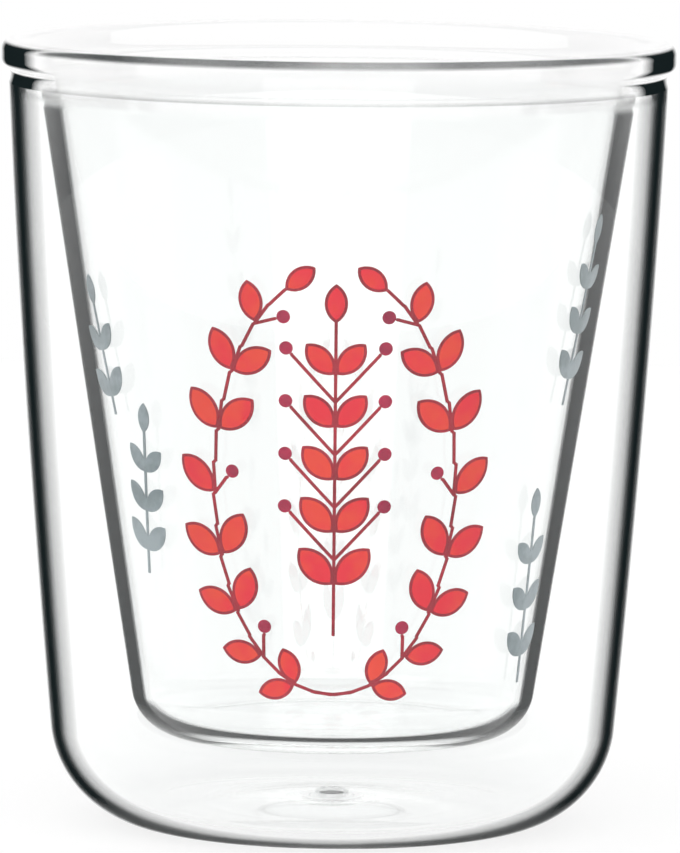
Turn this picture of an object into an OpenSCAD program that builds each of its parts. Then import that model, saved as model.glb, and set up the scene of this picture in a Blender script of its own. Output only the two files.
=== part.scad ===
// A double walled drinking glass. Two blown glass blanks, a tapered outer tumbler and a
// steeper inner bowl, are melted together at the rim and hold a layer of still air. The
// print is glass enamel on the air side of the bowl. The cup stands on the plane z = 0
// with its axis on Z, and its front faces -Y.

/* [Overall] */
// Height from the table to the top of the rim
cup_h = 100.8; // [90:0.2:116]

/* [Outer wall] */
// Outer diameter at the seam under the rim
outer_top_d = 84; // [74:0.5:96]
// How far the wall has drawn in at its belly, on the radius
belly_in = 1.7; // [0.5:0.1:3]
// Height of the belly above the table
belly_z = 58; // [45:1:70]
// How far the line of the wall has drawn in at the table, on the radius
base_in = 7; // [4:0.2:10]
// Radius of the rounded base corner, outside
outer_corner_r = 14; // [8:0.5:16]
// Thickness of the outer glass
outer_t = 2; // [1.4:0.1:2.6]

/* [Base recess] */
// Width of the flat ring that the cup stands on
ring_w = 5.2; // [3:0.2:8]
// Depth of the recess
punt_h = 1; // [0.9:0.1:2]
// Diameter of the flat seat at the middle of the recess
seat_d = 8; // [7.4:0.2:12]

/* [Inner bowl] */
// Clear width of the air gap at the seam, where the two blanks come closest
rim_gap = 1.9; // [1.5:0.1:3]
// How far the bowl's wall draws in from the seam to the plane of its underside, on the radius
bowl_in = 13.2; // [9:0.2:16]
// Height of the bowl's underside above the table
bowl_lift = 11.8; // [9:0.2:20]
// Radius of the bowl's rounded bottom corner, outside
bowl_corner_r = 6.5; // [4:0.5:12]
// Thickness of the inner glass
bowl_t = 2; // [1.4:0.1:2.6]

/* [Fused rim] */
// Height of the solid rim, from the seam to the lip
rim_h = 5.7; // [5.2:0.1:7]
// Width of the bead at the lip, which is round above and below
bead_w = 3; // [2.4:0.1:3.4]
// Height of the upright stretch between the bead's two rounds
bead_side_h = 1; // [0.2:0.1:1.2]
// How far the bead stands proud of the outer wall
bead_proud = 1; // [0.4:0.1:1.4]
// How far the neck under the bead is drawn in from the outer wall
neck_in = 0.5; // [0:0.1:0.8]

/* [Vent plug] */
// Diameter of the vent hole and of the plug's shank
vent_d = 3.2; // [2.4:0.1:3.6]
// Diameter of the plug's head, under the base
plug_head_d = 6; // [5:0.1:6.8]
// Thickness of the head
plug_head_t = 0.7; // [0.4:0.1:0.8]
// Diameter of the plug's lip, in the air space
plug_lip_d = 4.4; // [4:0.1:5.2]
// Height of the lip
plug_lip_h = 1; // [0.6:0.1:2]

/* [Print] */
// Thickness of the fired enamel
enamel_t = 0.12; // [0.08:0.02:0.2]
// Length of a full leaf
leaf_l = 6.2; // [4:0.1:6.4]
// Width of a full leaf
leaf_w = 3.6; // [2:0.1:3.8]
// Room along a stem between one leaf and the next
leaf_room = 0.5; // [0.3:0.1:2]
// Width of the dark outline
outline_w = 0.36; // [0.2:0.02:0.5]
// Width of a stem
stem_w = 0.42; // [0.3:0.02:0.6]
// Diameter of a berry
berry_d = 1.7; // [1:0.1:2]

/* [Front print] */
// Height of the foot of the wreath above the bowl's rounded corner
wreath_lift = 1.9; // [1.4:0.1:4]
// Width of the wreath between its stems, along the wall
wreath_w = 31; // [28:1:34]
// Height of the wreath between its stems
wreath_h = 54; // [44:1:54]

/* [Side prints] */
// Length of a leaf in the side prints
side_leaf_l = 4.8; // [3.6:0.1:5]
// Width of a leaf in the side prints
side_leaf_w = 2.5; // [1.6:0.1:2.8]

/* [Hidden] */
$fn = 96;

// Steps along each rounded stretch of the blown walls
arc_steps = 20;
side_steps = 12;
lip_steps = 8;
bead_over_steps = 16;
bead_under_steps = 8;

seam_z = cup_h - rim_h;

// Outer wall: radii, lean of its lower part from the vertical, and the centre of its base
// corner
outer_top_r = outer_top_d / 2;
belly_r = outer_top_r - belly_in;
outer_base_r = outer_top_r - base_in;
outer_lean = atan((belly_r - outer_base_r) / belly_z);
outer_corner = [
    outer_base_r - outer_corner_r * (1 - sin(outer_lean)) / cos(outer_lean),
    outer_corner_r
];
punt_r = outer_corner.x - ring_w;
floor_top_z = punt_h + outer_t;

// Air gap at the seam, closed above by a half round crown
gap_out_r = outer_top_r - outer_t;
gap_in_r = gap_out_r - rim_gap;

// Inner bowl: lean of its straight wall, and the centre of its bottom corner
bowl_base_r = gap_in_r - bowl_in;
bowl_lean = atan(bowl_in / (seam_z - bowl_lift));
bowl_corner = [
    bowl_base_r - bowl_corner_r * (1 - sin(bowl_lean)) / cos(bowl_lean),
    bowl_lift + bowl_corner_r
];
bowl_mouth_r = gap_in_r - bowl_t / cos(bowl_lean);

// Fused rim: centres of the bead's upper and lower rounds, and where the bead leaves the neck
// and the flare
bead_over_c = [outer_top_r + bead_proud - bead_w / 2, cup_h - bead_w / 2];
bead_under_c = [bead_over_c.x, bead_over_c.y - bead_side_h];
bead_low_angle = -60;
bead_in_angle = 130;
// Share of the flare's height at which it turns out of the bowl's wall
flare_turn_share = 0.27;

// Vent plug: chamfer of the head, and the lip's upright edge and top as shares
plug_chamfer_share = 0.3;
lip_edge_share = 0.3;
lip_top_share = 0.6;

// Radial reach of a stamped figure, enough to pass through the enamel everywhere
stamp_depth = leaf_l;

// Wreath: from the crossing of the stems at its foot, over the leaf pairs, to its tips
leaf_pitch = leaf_l + leaf_room;
wreath_pairs = round(wreath_h / leaf_pitch);
wreath_cross_angle = -10;
wreath_first_angle = 17;
wreath_last_angle = 156;
cross_steps = 3;
// Angle between a leaf and its stem
leaf_spread_angle = 42;
// A leaf on the inner side gives way to a berry at every third pair
berry_every = 3;
// Shares of a full leaf: the smallest leaf of the wreath, and the last leaf of a sprig
wreath_leaf_share = 0.76;
sprig_leaf_share = 0.8;
// Reach of a berry of the wreath from its stem, as a share of a leaf's length
berry_reach_share = 0.62;
// Bare foot of a sprig, as a share of its length
bare_foot_share = 0.16;

// Height of the middle of the wreath above the table
wreath_z = bowl_corner.y + wreath_lift + wreath_h / 2;
// Foot of the upright sprig, as a share of the wreath's height under its middle
sprig_foot_share = 0.36;
// Length of the upright sprig as a share of the wreath's height, and the reach of its
// berries as a share of the wreath's width
sprig_l_share = 0.74;
berry_arm_share = 0.297;
mid_sprig_l = sprig_l_share * wreath_h;
mid_pairs = round((1 - bare_foot_share) * mid_sprig_l / leaf_pitch);

// Side prints, a row for each sprig: place of its foot along the wall as a share of the
// wreath's width, height of the foot and length as shares of the wreath's height, lean,
// and number of leaf pairs
left_sprig_shares = [
    [-1.06, 0.13, 0.26, 8, 2],
    [-0.86, -0.24, 0.34, -8, 3]
];
right_sprig_shares = [
    [1.12, 0.16, 0.38, -6, 3],
    [0.91, -0.50, 0.40, 6, 3]
];

// Quadratic curve from a to c, drawn towards b
function curve(a, b, c, steps) = [
    for (i = [0 : steps])
        let (t = i / steps)
            (1 - t) * (1 - t) * a + 2 * t * (1 - t) * b + t * t * c
];

// Arc of radius r about c, from angle a0 to angle a1
function arc(c, r, a0, a1, steps) = [
    for (i = [0 : steps])
        let (a = a0 + (a1 - a0) * i / steps)
            c + r * [cos(a), sin(a)]
];

function reversed(list) = [for (i = [len(list) - 1 : -1 : 0]) list[i]];

// Face of the outer blank from the vent to the seam, moved into the glass by inset
function outer_face(inset) = let (
    into = inset * [-cos(outer_lean), sin(outer_lean)],
    corner = arc(outer_corner, outer_corner_r - inset, -90, -outer_lean, arc_steps),
    belly = [belly_r, belly_z] + into,
    top = [outer_top_r - inset, seam_z],
    side = curve(corner[arc_steps], belly, top, side_steps)
) concat(
    [[vent_d / 2, punt_h + inset]],
    [
        for (i = [0 : lip_steps])
            let (share = i / lip_steps)
                [
                    seat_d / 2 + (punt_r - seat_d / 2) * share,
                    inset + punt_h * (1 + cos(180 * share)) / 2
                ]
    ],
    corner,
    [for (i = [1 : side_steps]) side[i]]
);

// Face of the inner blank from the axis to the seam, moved into the glass by inset
function bowl_face(inset) = concat(
    [[0, bowl_lift + inset]],
    arc(bowl_corner, bowl_corner_r - inset, -90, -bowl_lean, arc_steps),
    [[gap_in_r - inset / cos(bowl_lean), seam_z]]
);

// Radius of the bowl's air side at height z
function bowl_r(z) = bowl_base_r + (z - bowl_lift) * tan(bowl_lean);

// Turn about the axis that carries a point of the front u along the wall at height z
function wall_turn(u, z) = u / bowl_r(z) * 180 / PI;

// A stem is a list of stops, each [place along the wall, height, heading]
function oval_stem(side, first, last, steps) = [
    for (i = [0 : steps])
        let (
            a = first + (last - first) * i / steps,
            heading = atan2(wreath_h * sin(a), wreath_w * cos(a))
        )
            [
                side * wreath_w / 2 * sin(a),
                wreath_z - wreath_h / 2 * cos(a),
                side > 0 ? heading : 180 - heading
            ]
];

function straight_stem(foot, length, heading, steps) = [
    for (i = [0 : steps])
        let (along = length * (bare_foot_share + (1 - bare_foot_share) * i / steps))
            [
                foot.x + along * cos(heading),
                foot.y + along * sin(heading),
                heading
            ]
];

// The place a given distance from a stop along an angle
function reach(stop, distance, angle) = [
    stop.x + distance * cos(angle),
    stop.y + distance * sin(angle)
];

// Leaves of a stem, each [place, height, angle, length, width]. side tells which side is
// the inner one, where berries take the place of some leaves
function leaf_at(stop, angle, distance, l, w) = let (
    middle = reach(stop, distance, angle)
) [middle.x, middle.y, angle, l, w];

// Radius of the two arcs that bound a leaf
function leaf_r(l, w) = (l * l + w * w) / (4 * w);

// How far the middle of a side leaf lies from its stop, for its outline to lap the stem
// by half the outline's width. A slim leaf meets the stem with its point, and a full one
// with its edge
function side_leaf_reach(l, w) = let (
    half_span = leaf_spread_angle < 2 * atan(w / l)
        ? leaf_r(l, w) - (leaf_r(l, w) - w / 2) * cos(leaf_spread_angle)
        : l / 2 * sin(leaf_spread_angle)
) (half_span + (stem_w - outline_w) / 2) / sin(leaf_spread_angle);

function is_berry(i, turn, side) = side != 0 && turn == side && i % berry_every == 1;

function side_leaf(stop, turn, l, w) =
    leaf_at(stop, stop.z + turn * leaf_spread_angle, side_leaf_reach(l, w), l, w);

function pair_leaves(stops, sizes, side, l, w) = [
    for (i = [0 : len(stops) - 2], turn = [-1, 1])
        if (!is_berry(i, turn, side))
            side_leaf(stops[i], turn, l * sizes[i], w * sizes[i])
];

function tip_leaf(stops, sizes, l, w) = let (
    last = len(stops) - 1
) [leaf_at(stops[last], stops[last].z, l * sizes[last] / 2, l * sizes[last], w * sizes[last])];

function stem_leaves(stops, sizes, side, l, w) = concat(
    pair_leaves(stops, sizes, side, l, w),
    tip_leaf(stops, sizes, l, w)
);

// Berries of a wreath stem, each [stop, angle, reach]
function stem_berries(stops, side) = [
    for (i = [0 : len(stops) - 2])
        if (is_berry(i, side, side))
            [stops[i], stops[i].z + side * leaf_spread_angle, berry_reach_share * leaf_l]
];

// Berries of the upright sprig, on stalks that leave the stem between two leaf pairs
function mid_berries(stops) = [
    for (i = [1 : len(stops) - 2], turn = [-1, 1])
        [(stops[i - 1] + stops[i]) / 2, stops[i].z + turn * leaf_spread_angle, berry_arm_share * wreath_w]
];

function wreath_sizes() = [
    for (i = [0 : wreath_pairs])
        wreath_leaf_share + (1 - wreath_leaf_share) * sin(180 * i / wreath_pairs)
];

function sprig_sizes(pairs) = [
    for (i = [0 : pairs])
        1 - (1 - sprig_leaf_share) * i / pairs
];

function sprig_foot() = [0, wreath_z - sprig_foot_share * wreath_h];

function mid_stem() = straight_stem(sprig_foot(), mid_sprig_l, 90, mid_pairs);

// Stems of the front print, each [stops, leaf sizes, inner side]
function front_stems() = concat(
    [
        for (side = [-1, 1])
            [oval_stem(side, wreath_first_angle, wreath_last_angle, wreath_pairs), wreath_sizes(), side]
    ],
    [[mid_stem(), sprig_sizes(mid_pairs), 0]]
);

function front_leaves() = [
    for (stem = front_stems())
        each stem_leaves(stem[0], stem[1], stem[2], leaf_l, leaf_w)
];

function front_berries() = concat(
    [
        for (stem = front_stems())
            each stem_berries(stem[0], stem[2])
    ],
    mid_berries(mid_stem())
);

// Leaf with two pointed ends, lying along x, its edge moved inwards by inset
module leaf(l, w, inset = 0) {
    r = leaf_r(l, w);
    intersection() {
        translate([0, r - w / 2]) circle(r - inset);
        translate([0, w / 2 - r]) circle(r - inset);
    }
}

// Stands a flat figure on the bowl's wall: u along the wall from the front, height z,
// and a turn about the axis
module stamp(u, z, turn = 0) {
    rotate([0, 0, turn + wall_turn(u, z)])
        translate([0, stamp_depth / 2 - bowl_r(z), z])
            rotate([90, 0, 0])
                linear_extrude(stamp_depth) children();
}

// Straight piece of a stem between two places, with a round end at the second
module stem_piece(a, b, turn = 0) {
    stamp((a.x + b.x) / 2, (a.y + b.y) / 2, turn)
        rotate(atan2(b.y - a.y, b.x - a.x))
            square([norm([b.x - a.x, b.y - a.y]), stem_w], center = true);
    stamp(b.x, b.y, turn) circle(d = stem_w);
}

module stem_line(stops, turn = 0) {
    for (i = [1 : len(stops) - 1]) stem_piece(stops[i - 1], stops[i], turn);
}

// Keeps what lies in the enamel layer on the bowl's air side
module enamel() {
    low_z = bowl_corner.y;
    intersection() {
        rotate_extrude()
            polygon([
                [bowl_r(low_z), low_z],
                [bowl_r(low_z) + enamel_t, low_z],
                [bowl_r(seam_z) + enamel_t, seam_z],
                [bowl_r(seam_z), seam_z]
            ]);
        union() children();
    }
}

module outer_wall() {
    color([0.86, 0.93, 0.92, 0.35])
        rotate_extrude()
            polygon(concat(outer_face(0), reversed(outer_face(outer_t))));
}

module inner_wall() {
    color([0.84, 0.91, 0.90, 0.35])
        rotate_extrude()
            polygon(concat(bowl_face(0), reversed(bowl_face(bowl_t))));
}

module rim_section() {
    bead_r = bead_w / 2;
    bead_over = arc(bead_over_c, bead_r, 0, bead_in_angle, bead_over_steps);
    bead_under = arc(bead_under_c, bead_r, bead_low_angle, 0, bead_under_steps);
    bead_low = bead_under[0];
    bead_in = bead_over[bead_over_steps];
    neck_r = outer_top_r - neck_in;
    neck = [neck_r, bead_low.y + (bead_low.x - neck_r) / tan(bead_low_angle)];
    turn_h = flare_turn_share * (bead_in.y - seam_z);
    flare_turn = [bowl_mouth_r + turn_h * tan(bowl_lean), seam_z + turn_h];
    crown_c = [(gap_out_r + gap_in_r) / 2, seam_z];
    polygon(concat(
        curve([outer_top_r, seam_z], neck, bead_low, lip_steps),
        [for (i = [1 : bead_under_steps]) bead_under[i]],
        bead_over,
        curve(bead_in, flare_turn, [bowl_mouth_r, seam_z], arc_steps),
        arc(crown_c, (gap_out_r - gap_in_r) / 2, 180, 0, arc_steps)
    ));
}

module fused_rim() {
    color([0.80, 0.89, 0.88, 0.45]) rotate_extrude() rim_section();
}

module vent_plug() {
    head_r = plug_head_d / 2;
    lip_r = plug_lip_d / 2;
    chamfer = plug_chamfer_share * plug_head_t;
    under = punt_h - plug_head_t;
    color([0.90, 0.93, 0.93, 0.8])
        rotate_extrude()
            polygon([
                [0, under],
                [head_r - chamfer, under],
                [head_r, under + chamfer],
                [head_r, punt_h],
                [vent_d / 2, punt_h],
                [vent_d / 2, floor_top_z],
                [lip_r, floor_top_z],
                [lip_r, floor_top_z + lip_edge_share * plug_lip_h],
                [lip_top_share * lip_r, floor_top_z + plug_lip_h],
                [0, floor_top_z + plug_lip_h]
            ]);
}

module front_leaf_print() {
    color([0.91, 0.27, 0.24])
        enamel()
            for (m = front_leaves())
                stamp(m[0], m[1]) rotate(m[2]) leaf(m[3], m[4], outline_w);
}

module front_outline_print() {
    color([0.66, 0.09, 0.16])
        enamel() {
            for (m = front_leaves())
                stamp(m[0], m[1])
                    rotate(m[2])
                        difference() {
                            leaf(m[3], m[4]);
                            leaf(m[3], m[4], outline_w);
                        }
            for (side = [-1, 1]) {
                stem_line(oval_stem(side, wreath_cross_angle, wreath_first_angle, cross_steps));
                stem_line(oval_stem(side, wreath_first_angle, wreath_last_angle, 2 * wreath_pairs));
            }
            stem_line(concat([sprig_foot()], mid_stem()));
            for (berry = front_berries())
                stem_piece(berry[0], reach(berry[0], berry[2] - (berry_d + stem_w) / 2, berry[1]));
        }
}

module front_berry_print() {
    color([0.72, 0.06, 0.20])
        enamel()
            for (berry = front_berries()) {
                place = reach(berry[0], berry[2], berry[1]);
                stamp(place.x, place.y) circle(d = berry_d);
            }
}

module side_print(sprig_shares) {
    color([0.56, 0.61, 0.66])
        enamel()
            for (row = sprig_shares) {
                foot = [0, wreath_z + row[1] * wreath_h];
                turn = wall_turn(row[0] * wreath_w, foot.y);
                length = row[2] * wreath_h;
                stops = straight_stem(foot, length, 90 + row[3], row[4]);
                sizes = sprig_sizes(row[4]);
                for (m = stem_leaves(stops, sizes, 0, side_leaf_l, side_leaf_w))
                    stamp(m[0], m[1], turn) rotate(m[2]) leaf(m[3], m[4]);
                stem_line(concat([foot], stops), turn);
            }
}

module left_print() {
    side_print(left_sprig_shares);
}

module right_print() {
    side_print(right_sprig_shares);
}

outer_wall();
inner_wall();
fused_rim();
vent_plug();
front_leaf_print();
front_outline_print();
front_berry_print();
left_print();
right_print();
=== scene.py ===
# The double walled glass in a bright studio. The three glass nodes of the frame are one body
# of glass on the real cup, so one lathe of their section stands for them here. The fired
# print and the vent plug are the frame's own nodes.
import math

import bpy
from mathutils import Matrix, Vector

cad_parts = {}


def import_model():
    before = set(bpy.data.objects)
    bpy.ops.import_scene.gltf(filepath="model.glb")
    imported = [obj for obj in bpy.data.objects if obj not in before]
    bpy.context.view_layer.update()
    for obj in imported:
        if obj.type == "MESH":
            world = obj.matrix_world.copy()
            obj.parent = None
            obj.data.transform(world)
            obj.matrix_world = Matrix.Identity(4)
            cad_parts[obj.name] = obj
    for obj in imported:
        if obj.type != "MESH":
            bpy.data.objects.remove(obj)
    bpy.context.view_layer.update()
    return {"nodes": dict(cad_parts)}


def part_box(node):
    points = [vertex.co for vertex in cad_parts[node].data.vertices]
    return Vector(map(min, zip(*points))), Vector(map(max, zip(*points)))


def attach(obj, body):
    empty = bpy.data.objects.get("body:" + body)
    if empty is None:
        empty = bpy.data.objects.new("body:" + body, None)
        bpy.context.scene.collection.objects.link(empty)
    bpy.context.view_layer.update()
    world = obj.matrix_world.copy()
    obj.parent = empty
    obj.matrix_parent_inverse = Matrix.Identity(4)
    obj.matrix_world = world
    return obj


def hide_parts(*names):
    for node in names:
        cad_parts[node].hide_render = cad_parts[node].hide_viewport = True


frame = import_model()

MM = 0.001

# Sizes that the frame gives
rim_low, rim_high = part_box("fused_rim")
CUP_H = rim_high.z
SEAM_Z = rim_low.z
BOWL_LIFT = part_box("inner_wall")[0].z

# Sizes of the section, as in the part's source
OUTER_TOP_R = 42 * MM
BELLY_IN = 1.7 * MM
BELLY_Z = 58 * MM
BASE_IN = 7 * MM
OUTER_CORNER_R = 14 * MM
OUTER_T = 2 * MM
RING_W = 5.2 * MM
PUNT_H = 1 * MM
SEAT_R = 4 * MM
RIM_GAP = 1.9 * MM
BOWL_IN = 13.2 * MM
BOWL_CORNER_R = 6.5 * MM
BOWL_T = 2 * MM
BEAD_R = 1.5 * MM
BEAD_SIDE_H = 1 * MM
BEAD_PROUD = 1 * MM
BEAD_MIDDLE_R = OUTER_TOP_R + BEAD_PROUD - BEAD_R
NECK_IN = 0.5 * MM
VENT_R = 1.6 * MM
BEAD_LOW = math.radians(-60)
BEAD_IN = math.radians(130)

# Height at which the flare inside the rim turns outward, as a share of its own height
FLARE_TURN = 0.27

# The glass laps the print's and the plug's faces by this much, so that no two faces share
# one place
LAP = 0.03 * MM

# Fineness of the lathe, the distance under which two points are one, and the angle from
# which an edge stays sharp
TURNS = 288
ARC_STEPS = 40
SIDE_STEPS = 36
BEAD_STEPS = 30
HAIR = 0.001 * MM
SHARP_ANGLE = math.radians(50)

# Regions of the glass surface, in the order of its material slots
REGIONS = ["bowl_inside", "rim", "outside", "vent", "gap", "crown", "bowl_outside"]


def curve(a, b, c, steps):
    """Quadratic curve from a to c, drawn towards b."""
    a, b, c = Vector(a), Vector(b), Vector(c)
    ts = [i / steps for i in range(steps + 1)]
    return [(1 - t) * (1 - t) * a + 2 * t * (1 - t) * b + t * t * c for t in ts]


def arc(centre, r, a0, a1, steps):
    """Arc of radius r about centre, from angle a0 to angle a1."""
    angles = [a0 + (a1 - a0) * i / steps for i in range(steps + 1)]
    return [Vector(centre) + r * Vector((math.cos(a), math.sin(a))) for a in angles]


def wall_face(inset):
    """Face of the outer wall from the vent to the seam, moved into the glass by inset."""
    belly_r = OUTER_TOP_R - BELLY_IN
    base_r = OUTER_TOP_R - BASE_IN
    lean = math.atan((belly_r - base_r) / BELLY_Z)
    corner_x = base_r - OUTER_CORNER_R * (1 - math.sin(lean)) / math.cos(lean)
    punt_r = corner_x - RING_W
    punt = []
    for i in range(SIDE_STEPS + 1):
        share = i / SIDE_STEPS
        drop = PUNT_H * (1 + math.cos(math.pi * share)) / 2
        punt.append(Vector((SEAT_R + (punt_r - SEAT_R) * share, inset + drop)))
    corner = arc(
        (corner_x, OUTER_CORNER_R), OUTER_CORNER_R - inset, -math.pi / 2, -lean, ARC_STEPS
    )
    into = inset * Vector((-math.cos(lean), math.sin(lean)))
    belly = Vector((belly_r, BELLY_Z)) + into
    side = curve(corner[-1], belly, (OUTER_TOP_R - inset, SEAM_Z), SIDE_STEPS)
    return punt + corner + side[1:]


def bowl_lean():
    return math.atan(BOWL_IN / (SEAM_Z - BOWL_LIFT))


def bowl_face(inset):
    """Face of the bowl from its middle to the seam, moved into the glass by inset."""
    lean = bowl_lean()
    base_r = OUTER_TOP_R - OUTER_T - RIM_GAP - BOWL_IN
    corner_x = base_r - BOWL_CORNER_R * (1 - math.sin(lean)) / math.cos(lean)
    centre = (corner_x, BOWL_LIFT + BOWL_CORNER_R)
    corner = arc(centre, BOWL_CORNER_R - inset, -math.pi / 2, -lean, ARC_STEPS)
    top = Vector((base_r + BOWL_IN - inset / math.cos(lean), SEAM_Z))
    return [Vector((0, BOWL_LIFT + inset))] + corner + [top]


def glass_section():
    """The closed section of the glass, as (points, region) runs that meet end to end: up
    the inside of the bowl, over the bead, down the outside, through the vent, and back
    along the air gap."""
    inside = bowl_face(BOWL_T)
    bead_c = Vector((BEAD_MIDDLE_R, CUP_H - BEAD_R))
    under_c = bead_c - Vector((0, BEAD_SIDE_H))
    over = arc(bead_c, BEAD_R, BEAD_IN, 0, BEAD_STEPS)
    bead = over + arc(under_c, BEAD_R, 0, BEAD_LOW, BEAD_STEPS)
    mouth = inside[-1]
    turn_h = FLARE_TURN * (bead[0].y - SEAM_Z)
    flare_turn = mouth + turn_h * Vector((math.tan(bowl_lean()), 1))
    flare = curve(mouth, flare_turn, bead[0], SIDE_STEPS)
    neck_r = OUTER_TOP_R - NECK_IN
    neck = (neck_r, bead[-1].y + (bead[-1].x - neck_r) / math.tan(BEAD_LOW))
    neck_line = curve(bead[-1], neck, (OUTER_TOP_R, SEAM_Z), ARC_STEPS)
    outside = wall_face(0)[::-1]
    gap = wall_face(OUTER_T)
    vent = [
        Vector((VENT_R - LAP, PUNT_H - LAP)),
        Vector((VENT_R - LAP, PUNT_H + OUTER_T + LAP)),
    ]
    crown_c = (OUTER_TOP_R - OUTER_T - RIM_GAP / 2, SEAM_Z)
    crown = arc(crown_c, RIM_GAP / 2, 0, math.pi, ARC_STEPS)
    air = bowl_face(-LAP)[::-1]
    return [
        (inside, "bowl_inside"),
        (flare + bead[1:] + neck_line[1:], "rim"),
        (outside, "outside"),
        (vent, "vent"),
        (gap, "gap"),
        (crown, "crown"),
        (air, "bowl_outside"),
    ]


def lathe(name, runs, turns):
    """Turns a section of (points, region) runs about Z into one closed mesh. Points closer
    than a hair to the one before are dropped, and points on the axis become single ones."""
    section = []
    for points, region in runs:
        for p in points:
            if not section or (p - section[-1][0]).length > HAIR:
                section.append((p, region))
    verts, rings = [], []
    for p, region in section:
        first = len(verts)
        if p.x < HAIR:
            verts.append((0, 0, p.y))
            rings.append([first] * turns)
            continue
        for k in range(turns):
            a = 2 * math.pi * k / turns
            verts.append((p.x * math.cos(a), p.x * math.sin(a), p.y))
        rings.append(list(range(first, first + turns)))
    faces, regions = [], []
    for i in range(len(section) - 1):
        low, high = rings[i], rings[i + 1]
        for k in range(turns):
            n = (k + 1) % turns
            corners = [low[k], high[k], high[n], low[n]]
            face = [v for j, v in enumerate(corners) if v not in corners[:j]]
            faces.append(face)
            regions.append(REGIONS.index(section[i + 1][1]))
    mesh = bpy.data.meshes.new(name)
    mesh.from_pydata(verts, [], faces)
    mesh.polygons.foreach_set("material_index", regions)
    mesh.polygons.foreach_set("use_smooth", [True] * len(faces))
    mesh.set_sharp_from_angle(angle=SHARP_ANGLE)
    mesh.update()
    obj = bpy.data.objects.new(name, mesh)
    bpy.context.scene.collection.objects.link(obj)
    return obj


class Tree:
    """The node tree of a material or a world, with short calls to add and join its nodes."""

    def __init__(self, owner):
        owner.use_nodes = True
        self.owner = owner
        self.nodes = owner.node_tree.nodes
        self.links = owner.node_tree.links
        self.nodes.clear()

    def add(self, kind, inputs=None, **settings):
        node = self.nodes.new(kind)
        for key, value in settings.items():
            setattr(node, key, value)
        for key, value in (inputs or {}).items():
            if isinstance(value, bpy.types.NodeSocket):
                self.links.new(value, node.inputs[key])
            else:
                node.inputs[key].default_value = value
        return node

    def calc(self, operation, a, b):
        return self.add("ShaderNodeMath", {0: a, 1: b}, operation=operation).outputs["Value"]

    def times(self, a, b):
        return self.calc("MULTIPLY", a, b)

    def most(self, a, b):
        return self.calc("MAXIMUM", a, b)

    def remap(self, value, low, high, first, last, interpolation="LINEAR"):
        """Runs from first, where the value is low, to last, where it is high."""
        return self.add(
            "ShaderNodeMapRange",
            {"Value": value, "From Min": low, "From Max": high, "To Min": first, "To Max": last},
            interpolation_type=interpolation,
        ).outputs["Result"]

    def smooth(self, value, low, high):
        """Smooth step from 0, where the value is low, to 1, where it is high."""
        return self.remap(value, low, high, 0.0, 1.0, "SMOOTHSTEP")

    def mix(self, factor, a, b):
        """Two values mixed."""
        return self.add("ShaderNodeMix", {"Factor": factor, "A": a, "B": b}).outputs["Result"]

    def axis(self, vector, name):
        return self.add("ShaderNodeSeparateXYZ", {"Vector": vector}).outputs[name]

    def place(self):
        """The place on the object."""
        return self.add("ShaderNodeTexCoord").outputs["Object"]

    def noise(self, where, scale, detail=0.0, roughness=0.5):
        return self.add(
            "ShaderNodeTexNoise",
            {"Vector": where, "Scale": scale, "Detail": detail, "Roughness": roughness},
        ).outputs["Fac"]

    def bump(self, height, strength, depth):
        return self.add(
            "ShaderNodeBump", {"Height": height, "Strength": strength, "Distance": depth}
        ).outputs["Normal"]

    def ramp(self, fac, stops):
        """Colours between stops of (place, colour)."""
        node = self.add("ShaderNodeValToRGB", {"Fac": fac})
        elements = node.color_ramp.elements
        while len(elements) < len(stops):
            elements.new(1)
        for element, (place, colour) in zip(elements, stops):
            element.position = place
            element.color = (*colour, 1)
        return node.outputs["Color"]

    def levels(self, fac, stops):
        """Values between stops of (place, value)."""
        return self.ramp(fac, [(place, (value, value, value)) for place, value in stops])

    def straight(self):
        """A shader that lets light pass unbent."""
        return self.add("ShaderNodeBsdfTransparent").outputs["BSDF"]

    def principled(self, inputs):
        return self.add("ShaderNodeBsdfPrincipled", inputs).outputs["BSDF"]

    def blend(self, fac, first, second):
        """Two shaders mixed."""
        node = self.add("ShaderNodeMixShader", {"Fac": fac})
        self.links.new(first, node.inputs[1])
        self.links.new(second, node.inputs[2])
        return node.outputs["Shader"]

    def surface(self, shader):
        self.add("ShaderNodeOutputMaterial", {"Surface": shader})
        return self.owner


# Glass: its clear body, the near black painted near a wall's edge as painted shade for the
# studio's dark surround seen in it, and the slow waves that blowing leaves in its surface,
# stretched along the cup
CLEAR = (0.992, 0.998, 0.996)
PAINTED_EDGE_SHADE = (0.008, 0.013, 0.014)
GLASS_IOR = 1.47
WAVE_SCALE = (30, 30, 12)
WAVE_STRENGTH, WAVE_DEPTH = 0.35, 0.1 * MM

# How much painted shade each region gets, as (place, share of painted shade): a near black that
# stands in for the studio's dark surround seen in the glass. The places run from a face seen
# square on, at 0, to one seen edge on, at 1. The walls pale again close to 1, so that they stay
# clear when they are looked down on. The vent's wall, which the plug fills, has no painted shade
SHADES = {
    "outside": [
        (0.585, 0.0), (0.60, 0.15), (0.62, 0.26), (0.65, 0.38), (0.668, 0.45), (0.687, 0.57),
        (0.7066, 0.75), (0.728, 0.91), (0.751, 0.975), (0.78, 1.0), (0.81, 1.0),
        (0.842, 0.965), (0.89, 0.86), (0.93, 0.30), (1.0, 0.2),
    ],
    "bowl_outside": [
        (0.60, 0.0), (0.647, 0.15), (0.665, 0.75), (0.69, 1.0), (0.86, 1.0), (0.91, 0.90),
        (0.95, 0.3), (1.0, 0.2),
    ],
    "bowl_inside": [(0.80, 0.0), (1.0, 0.12)],
    "vent": [(0.0, 0.0), (1.0, 0.0)],
    "gap": [(0.90, 0.0), (1.0, 0.1)],
    "crown": [(0.90, 0.0), (1.0, 0.1)],
    "rim": [(0.56, 0.0), (0.64, 1.0), (0.86, 1.0), (0.94, 0.25)],
}

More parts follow.
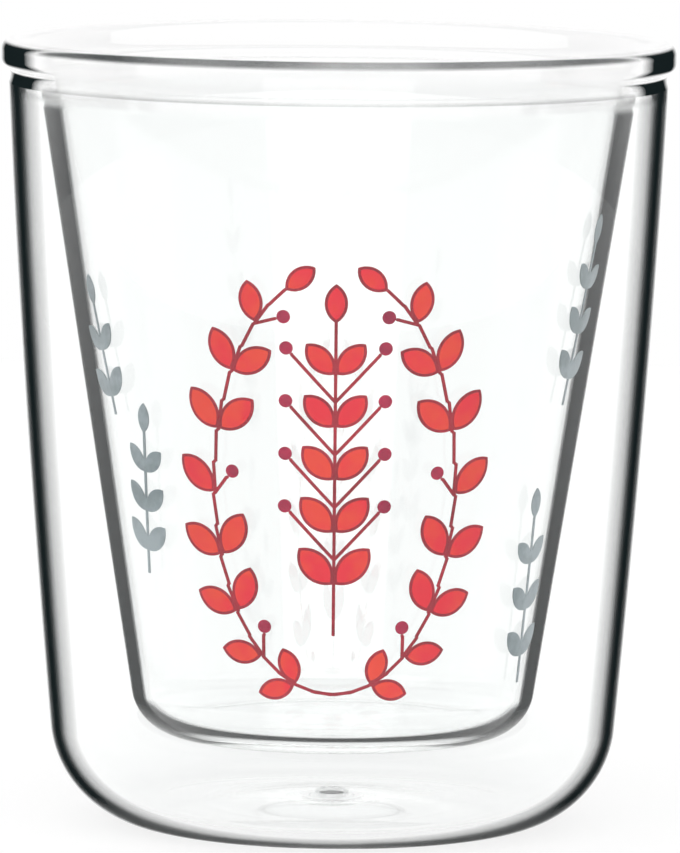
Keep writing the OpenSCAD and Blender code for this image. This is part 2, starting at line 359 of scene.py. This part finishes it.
# Share of the light that passes the solid rim unbent, which washes out the lines inside it,
# and the depth under the seam where the share comes to nothing. It reaches a little further
# down for light that leaves the glass. The vent's wall lets all light pass unbent
STRAIGHT = 0.9
VENT_STRAIGHT = 1.0
STRAIGHT_DEPTH = 1.6 * MM
LEAVING_DEPTH = 0.7 * MM

# The outside's painted shade pales towards the table, from the first height down to the second,
# and the painted shade on the underside of the bowl pales between these slopes
PALE_FROM, PALE_TO, PALE_SHARE = 5 * MM, 0 * MM, 0.80
UNDER_FROM, UNDER_TO, UNDER_SHARE = -0.3, -0.8, 0.15

# The bowl's outside is clear of painted shade again just under the seam, between these heights
SEAM_FROM, SEAM_TO = SEAM_Z - 0.3 * MM, SEAM_Z - 2 * MM

# Round its corner the bowl's painted band goes on as a painted dark line, painted shade on the
# inside face, from within the glass, at the angles where it begins to mirror. Steeper angles let
# the light pass unbent, which keeps the line of the underside faint. Both come in between these
# slopes
CORNER_SLOPE_FROM, CORNER_SLOPE_TO = 0.15, 0.4
CORNER_PAINTED_LINE = [(0.26, 0.0), (0.285, 0.97), (0.34, 0.97), (0.38, 0.0)]
CORNER_PASS_FROM, CORNER_PASS_TO, CORNER_PASS = 0.42, 0.50, 0.8

# On the outer half of the bead: its painted dark ends, painted shade where it is seen end on,
# fade out between these slopes, above and below. Its top carries a painted dark line, a painted
# reflection of the studio's dark surround, from one slope to the next and up to a third and
# fourth, which fades as it nears the ends. Its strength changes along the rim, by a noise
HALF_FROM, HALF_TO = BEAD_MIDDLE_R - 0.4 * MM, BEAD_MIDDLE_R
END_OVER_FROM, END_OVER_TO = 0.85, 0.55
END_UNDER_FROM, END_UNDER_TO = -0.6, -0.3
LINE_FROM, LINE_TO = 0.12, 0.52
LINE_TOP_FROM, LINE_TOP_TO = 0.98, 0.88
LINE_END_FROM, LINE_END_TO = 0.62, 0.50
LINE_NOISE_SCALE = 55.0
LINE_NOISE_FROM, LINE_NOISE_TO = 0.35, 0.65
LINE_LEAST, LINE_MOST = 0.55, 0.95


def rim_shade(t, edge, slope, where):
    """Painted shade: the bead is painted dark where it is seen end on, and its top gets a painted
    reflection, a line of the studio's dark surround, stronger in some stretches than in others."""
    painted_dark_ends = t.levels(edge, SHADES["rim"])
    painted_dark_ends = t.times(painted_dark_ends, t.smooth(slope, END_OVER_FROM, END_OVER_TO))
    painted_dark_ends = t.times(painted_dark_ends, t.smooth(slope, END_UNDER_FROM, END_UNDER_TO))
    stretches = t.noise(where, LINE_NOISE_SCALE)
    strength = t.remap(stretches, LINE_NOISE_FROM, LINE_NOISE_TO, LINE_LEAST, LINE_MOST)
    line = t.times(t.smooth(slope, LINE_FROM, LINE_TO), strength)
    line = t.times(line, t.smooth(slope, LINE_TOP_FROM, LINE_TOP_TO))
    line = t.times(line, t.smooth(edge, LINE_END_FROM, LINE_END_TO))
    flat = t.add("ShaderNodeVectorMath", {0: where, 1: (1, 1, 0)}, operation="MULTIPLY")
    radius = t.add("ShaderNodeVectorMath", {0: flat.outputs["Vector"]}, operation="LENGTH")
    outer_half = t.smooth(radius.outputs["Value"], HALF_FROM, HALF_TO)
    return t.times(t.most(painted_dark_ends, line), outer_half)


def glass(region):
    """Clear glass with painted shade that darkens it with how obliquely a face is seen from the
    air: a near black diffuse stands in for the studio's dark surround that a blown wall seen edge
    on would show. Light inside the glass passes freely, but for the painted line round the bowl's
    corner."""
    t = Tree(bpy.data.materials.new("glass_" + region))
    edge = t.add("ShaderNodeLayerWeight", {"Blend": 0.5}).outputs["Facing"]
    inside = t.add("ShaderNodeNewGeometry").outputs["Backfacing"]
    where = t.place()
    height = t.axis(where, "Z")
    slope = t.axis(t.add("ShaderNodeTexCoord").outputs["Normal"], "Z")

    stretch = t.add("ShaderNodeMapping", {"Vector": where, "Scale": WAVE_SCALE})
    waves = t.noise(stretch.outputs["Vector"], 1.0, detail=1.0)
    clear = t.principled(
        {
            "Base Color": (*CLEAR, 1),
            "Roughness": 0.0,
            "IOR": GLASS_IOR,
            "Transmission Weight": 1.0,
            "Normal": t.bump(waves, WAVE_STRENGTH, WAVE_DEPTH),
        }
    )

    level = t.calc("ADD", height, t.times(LEAVING_DEPTH, inside))
    unbent = t.times(STRAIGHT, t.smooth(level, SEAM_Z - STRAIGHT_DEPTH, SEAM_Z))
    shade = t.levels(edge, SHADES[region])
    if region == "vent":
        unbent = VENT_STRAIGHT
    if region == "rim":
        shade = rim_shade(t, edge, slope, where)
    if region == "outside":
        shade = t.times(shade, t.remap(height, PALE_FROM, PALE_TO, 1.0, PALE_SHARE))
    if region == "bowl_outside":
        shade = t.times(shade, t.remap(slope, UNDER_FROM, UNDER_TO, 1.0, UNDER_SHARE))
        shade = t.times(shade, t.smooth(height, SEAM_FROM, SEAM_TO))
    shade = t.times(shade, t.calc("SUBTRACT", 1.0, inside))
    if region == "bowl_inside":
        steep = t.calc("ABSOLUTE", slope, 0.0)
        corner = t.times(t.smooth(steep, CORNER_SLOPE_FROM, CORNER_SLOPE_TO), inside)
        passing = t.times(t.smooth(edge, CORNER_PASS_FROM, CORNER_PASS_TO), CORNER_PASS)
        unbent = t.most(unbent, t.times(passing, corner))
        shade = t.most(shade, t.times(t.levels(edge, CORNER_PAINTED_LINE), corner))
    # Near black diffuse: painted shade for the studio's dark surround, mixed in by the shade share
    dark = t.add("ShaderNodeBsdfDiffuse", {"Color": (*PAINTED_EDGE_SHADE, 1)}).outputs["BSDF"]
    return t.surface(t.blend(shade, t.blend(unbent, clear, t.straight()), dark))


# Enamel: the scale of the pools that it dries in and their weight in the colour, the stretch
# of the noise that its two colours span, how far its roughness swings, its body and skin
POOL_SCALE, POOL_DETAIL, POOL_ROUGHNESS, POOL_SHARE = 650.0, 3.0, 0.6, 0.45
COLOUR_FROM, COLOUR_TO = 0.40, 0.60
SMOOTHER, ROUGHER = 0.06, 0.08
ENAMEL_IOR, ENAMEL_SPECULAR = 1.5, 0.25
ENAMEL_SKIN_SCALE, ENAMEL_SKIN_DETAIL = 4200.0, 2.0
ENAMEL_SKIN_STRENGTH, ENAMEL_SKIN_DEPTH = 0.25, 0.02 * MM


def enamel(name, low, high, patch, roughness):
    """Fired glass enamel: colour that shifts from figure to figure and pools unevenly in
    each, and a fine satin skin. patch is the scale of the shift."""
    t = Tree(bpy.data.materials.new(name))
    where = t.place()
    pools = t.noise(where, POOL_SCALE, POOL_DETAIL, POOL_ROUGHNESS)
    both = t.mix(POOL_SHARE, t.noise(where, patch), pools)
    skin = t.noise(where, ENAMEL_SKIN_SCALE, ENAMEL_SKIN_DETAIL)
    paint = t.principled(
        {
            "Base Color": t.ramp(both, [(COLOUR_FROM, low), (COLOUR_TO, high)]),
            "Roughness": t.remap(pools, 0.0, 1.0, roughness - SMOOTHER, roughness + ROUGHER),
            "IOR": ENAMEL_IOR,
            "Specular IOR Level": ENAMEL_SPECULAR,
            "Normal": t.bump(skin, ENAMEL_SKIN_STRENGTH, ENAMEL_SKIN_DEPTH),
        }
    )
    return t.surface(paint)


# Silicone: its two shades, its body, its moulded skin, and the share of light that passes
# it unbent
SILICONE_DEEP, SILICONE_PALE = (0.93, 0.97, 0.97), (0.98, 0.99, 0.99)
SHADE_FROM, SHADE_TO = 0.3, 0.7
SILICONE_ROUGHNESS, SILICONE_IOR, SILICONE_CLEAR = 0.22, 1.41, 0.95
SILICONE_SKIN_SCALE, SILICONE_SKIN_DETAIL = 900.0, 3.0
SILICONE_SKIN_STRENGTH, SILICONE_SKIN_DEPTH = 0.3, 0.05 * MM
SILICONE_STRAIGHT = 0.7


def silicone(name):
    """Clear silicone, a little milky, with a moulded skin. As it wets the glass, most light
    passes it unbent."""
    t = Tree(bpy.data.materials.new(name))
    skin = t.noise(t.place(), SILICONE_SKIN_SCALE, SILICONE_SKIN_DETAIL)
    body = t.principled(
        {
            "Base Color": t.ramp(skin, [(SHADE_FROM, SILICONE_DEEP), (SHADE_TO, SILICONE_PALE)]),
            "Roughness": SILICONE_ROUGHNESS,
            "IOR": SILICONE_IOR,
            "Transmission Weight": SILICONE_CLEAR,
            "Normal": t.bump(skin, SILICONE_SKIN_STRENGTH, SILICONE_SKIN_DEPTH),
        }
    )
    return t.surface(t.blend(SILICONE_STRAIGHT, body, t.straight()))


def dress(node, material):
    """Gives a node of the frame its material."""
    mesh = frame["nodes"][node].data
    mesh.materials.clear()
    mesh.materials.append(material)
    mesh.polygons.foreach_set("material_index", [0] * len(mesh.polygons))


body = lathe("glass_body", glass_section(), TURNS)
for region in REGIONS:
    body.data.materials.append(glass(region))
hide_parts("outer_wall", "inner_wall", "fused_rim")
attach(body, "root")

red = enamel("red_enamel", (0.96, 0.016, 0.040), (0.99, 0.062, 0.030), 130.0, 0.34)
crimson = enamel("crimson_enamel", (0.34, 0.006, 0.022), (0.48, 0.012, 0.034), 160.0, 0.32)
berry = enamel("berry_enamel", (0.36, 0.004, 0.050), (0.55, 0.010, 0.070), 160.0, 0.30)
slate = enamel("grey_enamel", (0.24, 0.30, 0.32), (0.41, 0.48, 0.51), 140.0, 0.34)
dress("front_leaf_print", red)
dress("front_outline_print", crimson)
dress("front_berry_print", berry)
dress("left_print", slate)
dress("right_print", slate)
dress("vent_plug", silicone("silicone"))


# Levels of the surround: on the camera's side, where the glass would mirror it over the
# print, and for light that comes through the glass from there; behind the cup, where it
# makes up for what the many faces of the glass throw back, and the two shares of the way at
# which the back begins and is full; for what scatters its light; and for the eye
ROOM_MIRRORED = 0.1
ROOM_THROUGH = 1.0
BACK_LEVEL = 1.05
BACK_FROM, BACK_TO = 0.1, 0.7
PLAIN_LEVEL = 0.85
EYE_LEVEL = 1.0

# Floor: pale, and white to the eye, with the glass's shadow kept. Between these two places
# before the cup it falls to the level of the room for the glass that mirrors it
FLOOR_R = 0.6
FLOOR_STEPS = 96
FLOOR_BELOW = 0.02 * MM
FLOOR_COLOUR = (0.9, 0.9, 0.9)
FLOOR_GLOW = 0.75
FLOOR_WHITE = 1.07
MIRROR_FROM, MIRROR_TO = -0.12, -0.05


def floor():
    """A disc that keeps the glass's shadow, mixed with plain white where the camera or the
    glass looks at it."""
    t = Tree(bpy.data.materials.new("pale_floor"))
    lit = t.add("ShaderNodeBsdfDiffuse", {"Color": (*FLOOR_COLOUR, 1)}).outputs["BSDF"]
    path = t.add("ShaderNodeLightPath").outputs
    plain = t.most(path["Is Camera Ray"], path["Is Transmission Ray"])
    seen = t.most(plain, path["Is Glossy Ray"])
    mirrored = t.remap(t.axis(t.place(), "Y"), MIRROR_FROM, MIRROR_TO, ROOM_MIRRORED, 1.0)
    level = t.mix(plain, mirrored, FLOOR_WHITE)
    white = t.add("ShaderNodeEmission", {"Strength": level}).outputs["Emission"]
    material = t.surface(t.blend(t.times(seen, FLOOR_GLOW), lit, white))
    angles = [2 * math.pi * k / FLOOR_STEPS for k in range(FLOOR_STEPS)]
    ring = [(FLOOR_R * math.cos(a), FLOOR_R * math.sin(a), 0) for a in angles]
    mesh = bpy.data.meshes.new("floor")
    mesh.from_pydata(ring, [], [list(range(FLOOR_STEPS))])
    mesh.materials.append(material)
    obj = bpy.data.objects.new("floor", mesh)
    obj.location.z = -FLOOR_BELOW
    bpy.context.scene.collection.objects.link(obj)


def world():
    """A white surround, darker on the camera's side where the glass would mirror it, and a
    plain level on what scatters light."""
    studio = bpy.data.worlds.new("studio")
    bpy.context.scene.world = studio
    t = Tree(studio)
    path = t.add("ShaderNodeLightPath").outputs
    way = t.add("ShaderNodeTexCoord").outputs["Generated"]
    room = t.mix(path["Is Transmission Ray"], ROOM_MIRRORED, ROOM_THROUGH)
    by_glass = t.remap(t.axis(way, "Y"), BACK_FROM, BACK_TO, room, BACK_LEVEL)
    by_rest = t.mix(path["Is Diffuse Ray"], EYE_LEVEL, PLAIN_LEVEL)
    level = t.mix(t.most(path["Is Glossy Ray"], path["Is Transmission Ray"]), by_rest, by_glass)
    white = t.add("ShaderNodeBackground", {"Color": (1, 1, 1, 1), "Strength": level})
    t.add("ShaderNodeOutputWorld", {"Surface": white.outputs["Background"]})


def softbox(name, place, size, watts):
    lamp = bpy.data.lights.new(name, "AREA")
    lamp.shape = "RECTANGLE"
    lamp.size, lamp.size_y = size
    lamp.energy = watts
    obj = bpy.data.objects.new(name, lamp)
    obj.location = place
    aim = Vector((0, 0, CUP_H / 2)) - Vector(place)
    obj.rotation_euler = aim.to_track_quat("-Z", "Y").to_euler()
    obj.visible_glossy = False
    bpy.context.scene.collection.objects.link(obj)


# Camera: fitted to the photograph's rims and base
CAMERA_AWAY = 1232 * MM
CAMERA_H = 181.3 * MM
CAMERA_TILT = math.radians(6.03)
CAMERA_ROLL = math.radians(0.58)
CAMERA_SIDE = 0.6 * MM
FOCUS_PX = 9680
IMAGE_H_PX = 853
SENSOR = 36
CLIP_NEAR, CLIP_FAR = 0.01, 20


def camera():
    data = bpy.data.cameras.new("camera")
    data.sensor_width = SENSOR
    data.lens = FOCUS_PX * SENSOR / IMAGE_H_PX
    data.clip_start, data.clip_end = CLIP_NEAR, CLIP_FAR
    obj = bpy.data.objects.new("camera", data)
    turn = Matrix.Rotation(math.pi / 2 - CAMERA_TILT, 4, "X") @ Matrix.Rotation(CAMERA_ROLL, 4, "Z")
    obj.matrix_world = Matrix.Translation((CAMERA_SIDE, -CAMERA_AWAY, CAMERA_H)) @ turn
    bpy.context.scene.collection.objects.link(obj)
    bpy.context.scene.camera = obj


# Bounces that the many faces of the glass need
THROUGH_BOUNCES, GLOSSY_BOUNCES, DIFFUSE_BOUNCES = 24, 12, 4

floor()
world()
softbox("softbox_front", (0.0, -1.2, 0.65), (1.6, 1.0), 10.0)
softbox("softbox_left", (-0.7, -0.4, 0.8), (0.5, 0.5), 1.0)
camera()

scene = bpy.context.scene
scene.view_settings.view_transform = "Standard"
scene.cycles.max_bounces = THROUGH_BOUNCES
scene.cycles.transmission_bounces = THROUGH_BOUNCES
scene.cycles.glossy_bounces = GLOSSY_BOUNCES
scene.cycles.diffuse_bounces = DIFFUSE_BOUNCES
